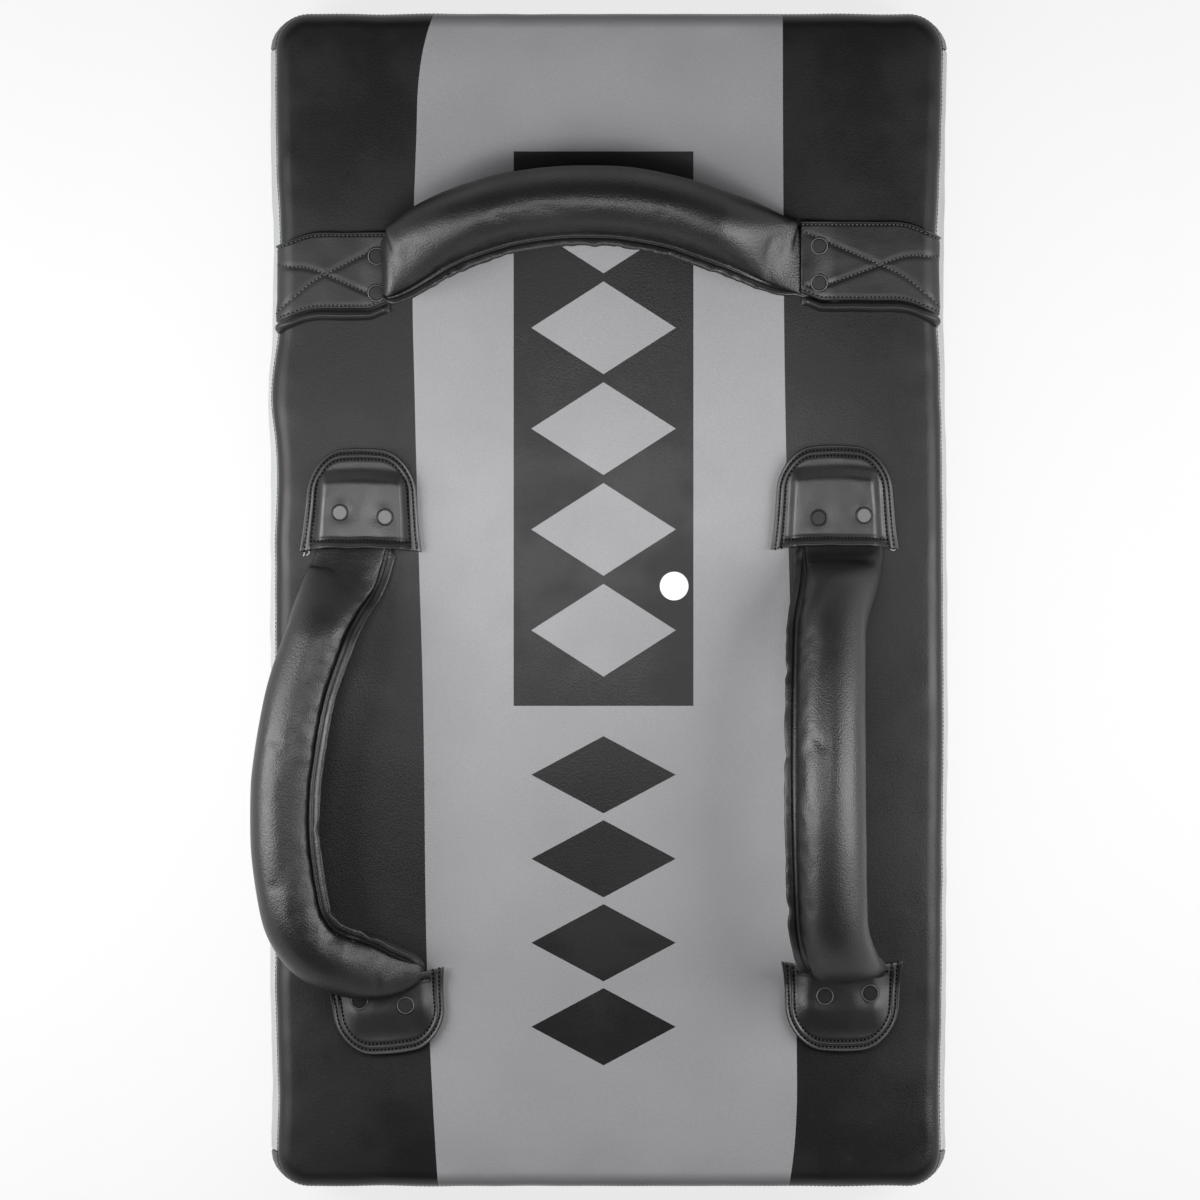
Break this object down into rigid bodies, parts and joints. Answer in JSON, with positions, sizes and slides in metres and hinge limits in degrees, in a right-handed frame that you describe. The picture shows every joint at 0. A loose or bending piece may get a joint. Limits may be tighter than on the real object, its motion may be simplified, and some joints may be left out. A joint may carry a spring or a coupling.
{
  "type": "strike shield",
  "caption": "Rectangular padded kick and punch shield with a sewn cover and padded handles that flop on its back.",
  "frame": {"origin": "middle of the flat striking face, which the shield lies on", "axes": "+Z out of the back where the handles are, +Y along the length towards the top handle, +X to the right of someone who looks at the back"},
  "size_m": [0.4155, 0.7008, 0.2377],
  "materials": {
    "black_leather": "satin, fine grain",
    "grey_leather": "satin, fine grain",
    "dense_foam": "matte closed-cell foam",
    "core_foam": "matte open-cell foam",
    "firm_foam": "matte closed-cell foam",
    "webbing": "woven",
    "rivet_metal": "dark gunmetal"
  },
  "bodies": {
    "shield": {"back_panel": "black_leather", "striking_panel": "black_leather", "top_gusset": "black_leather", "bottom_gusset": "black_leather", "left_gusset": "grey_leather", "right_gusset": "grey_leather", "impact_foam": "dense_foam", "core_foam": "core_foam", "backing_foam": "firm_foam", "left_upper_patch": "black_leather", "left_upper_tab": "black_leather", "left_upper_webbing_end": "webbing", "left_upper_backer": "webbing", "left_upper_rivet_1": "rivet_metal", "left_upper_rivet_2": "rivet_metal", "left_lower_patch": "black_leather", "left_lower_tab": "black_leather", "left_lower_webbing_end": "webbing", "left_lower_backer": "webbing", "left_lower_rivet_1": "rivet_metal", "left_lower_rivet_2": "rivet_metal", "right_upper_patch": "black_leather", "right_upper_tab": "black_leather", "right_upper_webbing_end": "webbing", "right_upper_backer": "webbing", "right_upper_rivet_1": "rivet_metal", "right_upper_rivet_2": "rivet_metal", "right_lower_patch": "black_leather", "right_lower_tab": "black_leather", "right_lower_webbing_end": "webbing", "right_lower_backer": "webbing", "right_lower_rivet_1": "rivet_metal", "right_lower_rivet_2": "rivet_metal", "top_left_strap": "black_leather", "top_left_webbing_end": "webbing", "top_left_backer": "webbing", "top_left_rivet_1": "rivet_metal", "top_left_rivet_2": "rivet_metal", "top_right_strap": "black_leather", "top_right_webbing_end": "webbing", "top_right_backer": "webbing", "top_right_rivet_1": "rivet_metal", "top_right_rivet_2": "rivet_metal"},
    "left_handle": {"left_handle_cover": "black_leather", "left_handle_foam": "dense_foam", "left_handle_webbing": "webbing"},
    "right_handle": {"right_handle_cover": "black_leather", "right_handle_foam": "dense_foam", "right_handle_webbing": "webbing"},
    "top_handle": {"top_handle_cover": "black_leather", "top_handle_foam": "dense_foam", "top_handle_webbing": "webbing"}
  },
  "joints": [
    {"name": "left_handle_swing", "type": "hinge", "parent": "shield", "child": "left_handle", "pos_m": [-0.14025, -0.0965, 0.16033], "axis": [-0.0572, 0.9984, 0.0018], "range_deg": [0, 150]},
    {"name": "right_handle_swing", "type": "hinge", "parent": "shield", "child": "right_handle", "pos_m": [0.13675, -0.0925, 0.16049], "axis": [-0.0181, 0.9998, 0.0036], "range_deg": [-53, 83]},
    {"name": "top_handle_swing", "type": "hinge", "parent": "shield", "child": "top_handle", "pos_m": [-0.00646, 0.1965, 0.16061], "axis": [0.9997, 0.0262, 0.0007], "range_deg": [0, 140]}
  ]
}
